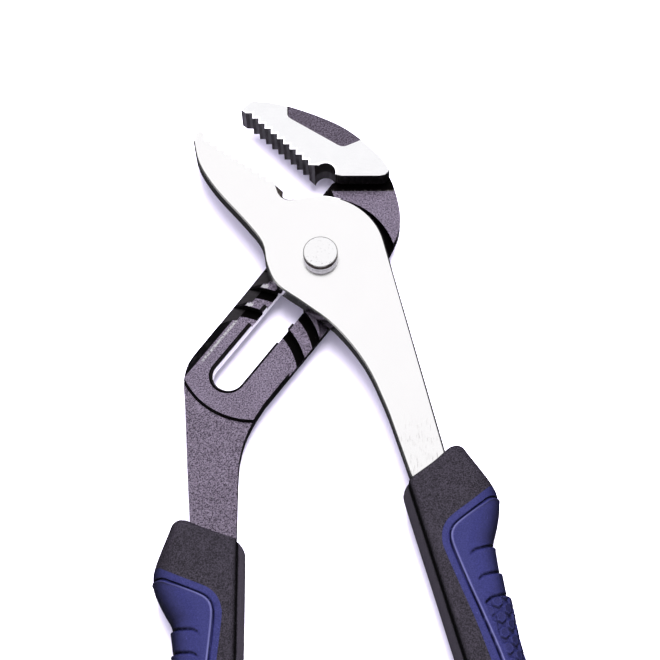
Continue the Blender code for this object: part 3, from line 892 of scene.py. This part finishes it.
def dress_pivot():
    """Turned steel on the CAD's own bolt and washer."""
    bolt = steel_material("bolt_turned", BOLT_TONES, 0.34, 0.25)
    washer = steel_material("washer_turned", WASHER_TONES, 0.42, 0.3)
    for node, material in (("pivot_bolt", bolt), ("pivot_washer", washer)):
        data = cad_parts[node].data
        data.materials.clear()
        data.materials.append(material)


# ---------------- grips
# grip places are (along, across): along from the front, across towards the palm
PALM_CURVE = polyline([
    (0.5, 10.2), (1.2, 11.5), (4.5, 12.6), (9, 14.2), (14, 16.0), (16.6, 16.7), (18.0, 16.9),
    (20.2, 16.75), (23.2, 15.9), (26.8, 14.2), (29.8, 12.5), (32.2, 11.1), (34.5, 10.5), (41, 10.1),
    (48.5, 9.9), (55, 9.8), (61, 9.2), (67, 8.9), (80, 8.8), (91, 9.8), (99, 11.3),
    (GRIP_LENGTH, 11.6)], 6)
INSIDE_CURVE = polyline([
    (8.0, -7.8), (8.5, -8.6), (9.3, -9.35), (10.4, -9.78), (12, -9.88), (20, -9.93), (44, -9.93),
    (60, -10.0), (92, -10.0), (GRIP_LENGTH, -10.0)], 6)
# outer border of the coloured moulding, and the edge of the raised pad within it
BORDER_CURVE = polyline([
    (15.7, 24), (16.7, 15.8), (17.9, 13.2), (19.4, 10.2), (21.0, 6.3), (22.6, 2.2), (24.1, -0.6),
    (26.5, -2.7), (29.6, -3.8), (33, -3.9), (44.5, -2.8), (58, -1.5), (80, -0.6), (91, -0.2), (96.5, 1.4),
    (99.8, 4.8), (101, 9), (101.4, 24)], 5)
PAD_CURVE = polyline([
    (19.0, 24), (20.1, 14.8), (21.7, 10.7), (23.2, 7.0), (24.9, 2.8), (26.3, 0.4), (28.3, -1.1),
    (31, -1.6), (35.5, -1.4), (44.5, -0.6), (54.7, 0.5), (66.5, 1.6), (80, 2.2), (89, 2.7), (93.5, 4.0),
    (96.4, 7.0), (97.6, 11), (98, 24)], 6)
# how far a finger crease lags behind its place on the palm edge
CREASE_ACROSS = (2.2, 2.8, 3.8, 5.0, 6.5, 8.0, 9.5, 10.6, 12.0)
CREASE_LAG = (3.4, 2.5, 1.8, 1.4, 1.2, 0.9, 0.5, 0.0, 0.0)
FINGER_PITCH = 7.7
SKIN_HALF = 9.35  # half the black skin's thickness
INLAY_DEPTH = 2.4  # how deep the blue moulding sits in the black one
POCKET_GAP = 0.3  # air round the lever's tang
SHOULDER_FROM = 8.0  # where the inner shoulder starts
PALM_ROUND = 4.2  # radius over the palm edge, how much it grows, and between which places
PALM_GROWS = 5.2
PALM_GROWS_OVER = (8.0, 26.0)
FRONT_SLANTS_TO = 15.5  # behind this the sections stand square to the grip
# how far the palm edge is set back at the front, and how much further the inner edge is
OUTER_FRONT = (0.9, 8.0)
INNER_FRONT = (1.5, 7.0)
PLAIN_FRONT = (0.0, 8.0)
FRONT_ROUND = (2.3, 1.9)  # length and depth of the rounding at each end
TAIL_ROUND = (6, 3.6)
CORNER_POWER = 2 / 2.05  # a little fuller than an ellipse
RIM_WIDTH = 2.35  # rail along the inner side of each grip, below the flat
FLAT_EDGE = -7.65  # the flat never starts further in than this
RIM_POINTS = 15  # points that draw the rail and its gutter in a section
# painted highlight on the rail and painted shade in its gutter, point by point of a section
RIM_SHADE = (-0.05, -0.3, -0.6, -0.85, -1, -1, -1, -0.8, -0.35, 0.3, 0.6, 0.8, 1, 1, 1)
SKIN_POINTS = 36  # points of a half section outside the rail, and in its recess
RECESS_POINTS = 14
PAD_POINTS = 64  # points of a half section of the blue skin, and of its inner side
CORE_POINTS = 5
POCKET_STATIONS = (96.0 + POCKET_GAP, 95.0, 92.0, 70.0, 50.0, 36.0, 24.0, FRONT_SLANTS_TO, 8.0, 0.0)
POCKET_INNER = 10.3  # the front slants across the room for the lever over this span
POCKET_SPAN = 21.0
TANG_END = [(92, 3.1), (95.2, 2.3), (96, 0.8)]
STUD_PITCH = 4.6
STUD_ROWS = 3.3
STUD_MIDDLE = 9.5  # the middle row, measured round the section from the palm edge
STUDS_FROM = 50.0
STUDS_TO = 90.0
FIRST_STUD = 1.2  # from there to the first stud's middle
BLACK_TONES = ((0.0034, 0.0027, 0.0042), (0.0200, 0.0168, 0.0245))
# painted highlight colour of the black rubber
BLACK_HIGHLIGHT = (0.030, 0.0260, 0.0345)
BLUE_TONES = ((0.0072, 0.0080, 0.0430), (0.0128, 0.0136, 0.0650))
# painted highlight colour of the blue rubber
BLUE_HIGHLIGHT = (0.064, 0.065, 0.150)
OUTER_CREASES = (33.3, 41.2, 48.2)
INNER_CREASES = (34.2, 41.0, 48.0)


def section_path(inner, outer, half, reach):
    """Half a cross-section as (across, height) rows, palm edge first, over the top."""
    turn = np.radians(np.linspace(0, 90, 19))
    across = outer - reach + reach * np.cos(turn) ** CORNER_POWER
    height = half * np.sin(turn) ** CORNER_POWER
    edge = min(inner + RIM_WIDTH, FLAT_EDGE)
    k = (edge - inner) / RIM_WIDTH
    step = 0.45
    flat = [(a, half) for a in np.arange(outer - reach - step, edge + 1.3, -step)]
    # a soft edge, given by its drop
    drops = ((1.1, 0.02), (0.55, 0.10), (0.18, 0.30), (0, 0.65))
    soft = [(edge + out, half - drop) for out, drop in drops]
    # a narrow gutter and the rail's upper side, then its lower side, by shares of the height
    gutter = ((0.04, 0.78), (0.10, 0.69), (0.20, 0.64), (0.34, 0.615), (0.50, 0.62), (0.66, 0.61))
    rail = ((1.2, 0.555), (0.7, 0.44), (0.32, 0.30), (0.08, 0.14), (0, 0))
    rows = [(edge - back * k, share * half) for back, share in gutter]
    rows += [(inner + out * k, share * half) for out, share in rail]
    return np.array(list(zip(across, height)) + flat + soft + rows)


def front_shape(u, nose):
    """How far a station's palm edge is set back, and how much further its inner edge is."""
    fade = max(0.0, 1 - u / FRONT_SLANTS_TO)
    return nose[0] * fade, nose[1] * fade


def rounding(u, size):
    """How far the skin has drawn in at u from an end that is rounded over (length, depth)."""
    length, depth = size
    return depth * (1 - math.sqrt(max(0.0, 1 - (1 - u / length) ** 2))) if u < length else 0.0


def grip_station(u, nose=PLAIN_FRONT):
    """One cross-section of the grip's skin: (n, 3) of along, across, height."""
    lead, slant = front_shape(u, nose)
    outer = np.interp(u + lead, *PALM_CURVE.T)
    inner = np.interp(u + SHOULDER_FROM * slant / nose[1], *INSIDE_CURVE.T)
    # the palm side is nearly square at the front and rounds off under the blue pad
    reach = PALM_ROUND + PALM_GROWS * float(smoothstep(*PALM_GROWS_OVER, u))
    path = section_path(inner, outer, SKIN_HALF, reach)
    shrink = rounding(u, FRONT_ROUND) + rounding(GRIP_LENGTH - u, TAIL_ROUND)
    middle = (inner + outer) / 2
    wide = (outer - inner) / 2
    across = middle + (path[:, 0] - middle) * (1 - shrink / wide)
    height = path[:, 1] * (1 - shrink / SKIN_HALF)
    share = (path[:, 0] - inner) / (outer - inner)
    along = u + lead + slant * (1 - share)
    return np.column_stack((along, across, height))


def resample(path, count):
    """The same line with evenly spaced points."""
    gaps = np.linalg.norm(np.diff(path, axis=0), axis=1)
    place = np.concatenate(([0], np.cumsum(gaps)))
    spots = np.linspace(0, place[-1], count)
    return np.column_stack([np.interp(spots, place, path[:, k]) for k in range(3)])


def split_at_border(path):
    """The station's skin cut where the blue moulding's border crosses it, or None."""
    beyond = path[:, 1] - np.interp(path[:, 0], *BORDER_CURVE.T)
    if beyond[0] <= 0 or not BORDER_CURVE[0, 0] < path[0, 0] < BORDER_CURVE[-1, 0]:
        return None
    k = int(np.argmax(beyond <= 0))
    share = beyond[k - 1] / (beyond[k - 1] - beyond[k])
    cross = path[k - 1] + (path[k] - path[k - 1]) * share
    return np.vstack((path[:k], cross)), np.vstack((cross, path[k:]))


def sunk(path, depth):
    """The skin moved in towards the middle of the grip."""
    result = path.copy()
    result[:, 1] -= depth * smoothstep(0, 3.0, path[:, 1] - path[:, 1].max() + 4.5)
    result[:, 2] *= (SKIN_HALF - depth) / SKIN_HALF
    return result


def both_halves(top):
    """A closed ring from a top half that runs from the palm edge to the inner edge."""
    bottom = top[1:-1][::-1] * np.array([1, 1, -1])
    return np.vstack((top, bottom))


def to_row(handle, points):
    """Grip places (along, across, height) as row-frame mm."""
    origin, along, across = handle
    plan = origin + points[..., 0:1] * along + points[..., 1:2] * across
    return np.concatenate((plan, points[..., 2:3] + MID_Z), axis=-1)


def handle_frame(front, angle, side):
    """A grip's front, its direction and the direction towards its palm side."""
    along = np.array(direction(angle))
    return np.array(front), along, np.array([-along[1], along[0]]) * side


def body_rings(nose):
    """Rings of the black moulding, with the recess that the blue one fills."""
    first, last = inlay_span()
    near = 0.03
    stations = np.concatenate((
        np.linspace(0.0, 2.4, 9), np.arange(2.8, first - 0.3, 0.6), (first - near,),
        np.arange(first, 20.0, 0.1), np.arange(20.0, 26.0, 0.2), np.arange(26.0, 96.0, 0.6),
        np.arange(96.0, last, 0.2), (last, last + near),
        np.linspace(last + 0.6, GRIP_LENGTH - 0.02, 18),
    ))
    rings = []
    for u in stations:
        path = grip_station(u, nose)
        low = np.repeat(path[:1], RECESS_POINTS, axis=0)
        parts = split_at_border(path)
        if parts is not None:
            blue, path = parts
            low = resample(sunk(blue, INLAY_DEPTH), RECESS_POINTS)
        # the rail keeps its own points, so that they line up from station to station
        outside = resample(path[:-RIM_POINTS], SKIN_POINTS)
        rings.append(both_halves(np.vstack((low, outside, path[-RIM_POINTS:]))))
    return np.array(rings)


def pocket_ring(outer_ring, along, edges, z_low, z_high):
    """A ring round the lever's tang with one point for each point of the skin ring."""
    low_edge, high_edge = edges
    inner = np.interp(along, *zip(*low_edge)) - POCKET_GAP
    outer = np.interp(along, *zip(*high_edge)) + POCKET_GAP
    middle = np.array([(inner + outer) / 2, (z_low + z_high) / 2])
    half = np.array([(outer - inner) / 2, (z_high - z_low) / 2])
    away = outer_ring[:, 1:] - middle
    reach = np.abs(away / half).max(axis=1)
    spots = away / reach[:, None]
    for corner in ((1, 1), (-1, 1), (-1, -1), (1, -1)):
        place = half * corner
        nearest = np.argmin(np.linalg.norm(spots - place, axis=1))
        spots[nearest] = place
    return spots + middle


def pocket_rings(skin, edges, z_low, z_high, nose):
    """Rings of the room for the lever, deepest first, to join on to the front ring."""
    rings = []
    for u in POCKET_STATIONS:
        lead, slant = front_shape(u, nose)
        across_z = pocket_ring(skin[0], u, edges, z_low, z_high)
        share = (across_z[:, 0] + POCKET_INNER) / POCKET_SPAN
        rings.append(np.column_stack((u + lead + slant * (1 - share), across_z)))
    return np.array(rings)


def bell(value, width):
    """1 at 0, falling away to both sides."""
    return np.exp(-(value / width) ** 2)


def pad_edge_relief(inside, along, arc):
    """The crease, bead and step round the pad: height in mm, and the painted light and shade on them, a
    painted highlight on the bead and painted shade in the crease.
    """
    off = np.abs(inside)
    height = -0.60 * dip(off, 0.0, 0.34) - 1.5 * dip(off, 0.15, 0.50) * dip(arc, 1.5, 4.0)
    height += 0.20 * smoothstep(0.22, 0.50, inside) * dip(inside, 0.62, 1.05)
    height += 0.25 * smoothstep(0.20, 0.50, inside)
    # painted highlight on the bead's crest and painted shade in the crease
    light_and_shade = bell(inside - 0.62, 0.24) * (0.10 + 0.90 * smoothstep(20.5, 28.0, along))
    return height, light_and_shade - 0.7 * bell(inside, 0.20)


def finger_relief(along, across, creases):
    """Finger steps: each rises behind a curved crease and falls away to the next."""
    lag = np.interp(across, CREASE_ACROSS, CREASE_LAG)
    fade = smoothstep(2.0, 3.4, across)
    height = np.zeros(along.shape)
    light_and_shade = np.zeros(along.shape)
    for place in creases:
        past = along - place - lag
        # painted shade along each crease
        light_and_shade = light_and_shade - 0.6 * fade * bell(past, 0.26)
        rise = smoothstep(0.1, 0.7, past) * np.clip(1 - past / FINGER_PITCH, 0, 1)
        cut = 0.60 * dip(np.abs(past), 0.10, 0.55)
        height += fade * (0.70 * rise * smoothstep(3.0, 8.5, across) - cut)
    return height, light_and_shade


def stud_relief(inside, along, arc):
    """Rows of six-sided studs with hollow tops, with a painted highlight round each top and painted shade
    in the field, the moats and the hollows.
    """
    zone = smoothstep(STUDS_FROM - 0.6, STUDS_FROM, along) * dip(along, STUDS_TO, STUDS_TO + 0.6)
    zone = zone * smoothstep(2.0, 2.6, inside)
    row = np.round((arc - STUD_MIDDLE) / STUD_ROWS)
    dy = arc - STUD_MIDDLE - row * STUD_ROWS
    shift = np.where(row.astype(int) % 2 == 0, 0.0, STUD_PITCH / 2)
    dx = along - STUDS_FROM - FIRST_STUD - shift
    dx = dx - np.round(dx / STUD_PITCH) * STUD_PITCH
    slanted = np.maximum(np.abs(0.5 * dy + 0.866 * dx), np.abs(0.5 * dy - 0.866 * dx))
    hexagon = np.maximum(np.abs(dy), slanted)
    height = 0.46 * dip(hexagon, 1.46, 1.70) - 0.16 * dip(hexagon, 0.90, 1.20)
    height = height - 0.22 * smoothstep(1.55, 1.72, hexagon)
    light_and_shade = 0.22 * smoothstep(1.12, 1.24, hexagon) * dip(hexagon, 1.40, 1.52)
    light_and_shade = light_and_shade - 0.15 - 0.50 * bell(hexagon - 1.74, 0.16) - 0.10 * dip(hexagon, 0.8, 1.1)
    return zone * height, zone * light_and_shade


def pad_relief(along, across, arc, creases):
    """Height of the blue skin above the black one in mm, and its painted light and shade."""
    inside = signed_distance(PAD_CURVE, along, across)
    parts = (
        pad_edge_relief(inside, along, arc),
        finger_relief(along, across, creases),
        stud_relief(inside, along, arc),
    )
    return sum(height for height, _ in parts), sum(light_and_shade for _, light_and_shade in parts)


def inlay_span():
    """Where along the grip the blue moulding starts and ends."""
    places = [u for u in np.arange(15.0, 104.0, 0.02) if split_at_border(grip_station(u)) is not None]
    return places[0], places[-1]


def both_faces(top):
    """A strip from a top half that runs from the palm edge, over it to the underside."""
    return np.vstack((top[::-1], top[1:] * np.array([1, 1, -1])))


def outward(skins):
    """Normals of a grid of points that point away from the middle of the grip."""
    normal = np.cross(np.gradient(skins, axis=0), np.gradient(skins, axis=1))
    normal /= np.maximum(np.linalg.norm(normal, axis=2, keepdims=True), 1e-9)
    centre = skins.mean(axis=1, keepdims=True) - np.array([0, 4.0, 0])
    return normal * np.sign((normal * (skins - centre)).sum(axis=2, keepdims=True))


def inlay_rings(creases):
    """Rings of the blue moulding: a dense outer skin closed by a plain inner one."""
    first, last = inlay_span()
    front = np.arange(first, 34.0, 0.2)
    stations = np.concatenate((front, np.arange(34.0, 92.0, 0.33), np.arange(92.0, last, 0.2)))
    skins, inners, arcs = [], [], []
    for u in stations:
        blue, _ = split_at_border(grip_station(u))
        top = resample(blue, PAD_POINTS)
        arc = np.concatenate(([0], np.cumsum(np.linalg.norm(np.diff(top, axis=0), axis=1))))
        skins.append(both_faces(top))
        arcs.append(np.concatenate((arc[::-1], arc[1:])))
        inners.append(both_faces(resample(sunk(blue, INLAY_DEPTH - 0.2), CORE_POINTS))[::-1])
    skins, inners = np.array(skins), np.array(inners)
    height, light_and_shade = pad_relief(skins[..., 0], skins[..., 1], np.array(arcs), creases)
    skins = skins + outward(skins) * height[..., None]
    skins[..., 2] = np.clip(skins[..., 2], -GRIP_HALF, GRIP_HALF)
    plain = np.zeros(inners.shape[:2])
    return np.concatenate((skins, inners), axis=1), np.concatenate((light_and_shade, plain), axis=1)


def rail_shade(rings):
    """How far each point of a ring is painted paler, as a painted highlight on the rail, or darker, as
    painted shade in its gutter.
    """
    half = rings.shape[1] // 2 + 1
    top = np.zeros(half)
    top[-RIM_POINTS:] = RIM_SHADE
    return np.tile(np.concatenate((top, top[1:-1][::-1])), (rings.shape[0], 1))


def build_grip(side, body, handle, edges, faces_z, nose, creases, black, blue):
    """One grip: the black moulding with room for the tang, and the blue one set in it."""
    skin = body_rings(nose)
    low = faces_z[0] - POCKET_GAP / 2 - MID_Z
    high = faces_z[1] + POCKET_GAP / 2 - MID_Z
    rings = np.concatenate((pocket_rings(skin, edges, low, high, nose), skin))
    shell = new_piece(side + "_grip_rubber", *loft(to_row(handle, rings)), black, 42, rail_shade(rings))
    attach(shell, body)
    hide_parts(side + "_grip_body")
    rings, light_and_shade = inlay_rings(creases)
    inlay = new_piece(side + "_grip_pad", *loft(to_row(handle, rings)), blue, 60, light_and_shade)
    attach(inlay, body)
    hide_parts(side + "_grip_inlay")


def tang_edges(inner_edge, outer_edge):
    """The lever's two edges inside its grip, as (along, across) points."""
    inside = [(-14, inner_edge - 1.4), (8, inner_edge), (40, -5.4), (92, -4.1), (95.2, -3.3), (96, -1.8)]
    outside = [(-14, outer_edge + 1.4), (8, outer_edge), (30, 4.8), (56, 3.5)] + TANG_END
    return inside, outside


def build_grips():
    """Both grips on their handles."""
    black = rubber_material("grip_rubber_black", BLACK_TONES, 0.58, 0.045, 0.12, BLACK_HIGHLIGHT)
    blue = rubber_material("grip_rubber_blue", BLUE_TONES, 0.50, 0.022, 0.62, BLUE_HIGHLIGHT)
    outer = handle_frame(OUTER_HANDLE, OUTER_ANGLE, 1)
    inner = handle_frame(INNER_HANDLE, INNER_ANGLE, -1)
    build_grip("outer", "outer_half", outer, tang_edges(-6.0, 5.5), (OUTER_FACE_Z, TOP_Z),
               OUTER_FRONT, OUTER_CREASES, black, blue)
    build_grip("inner", "inner_half", inner, tang_edges(-6.9, 6.9), (BOTTOM_Z, HANDLE_FACE_Z),
               INNER_FRONT, INNER_CREASES, black, blue)


add_camera()
add_studio()
add_floor()
build_levers()
build_nut()
dress_pivot()
build_grips()
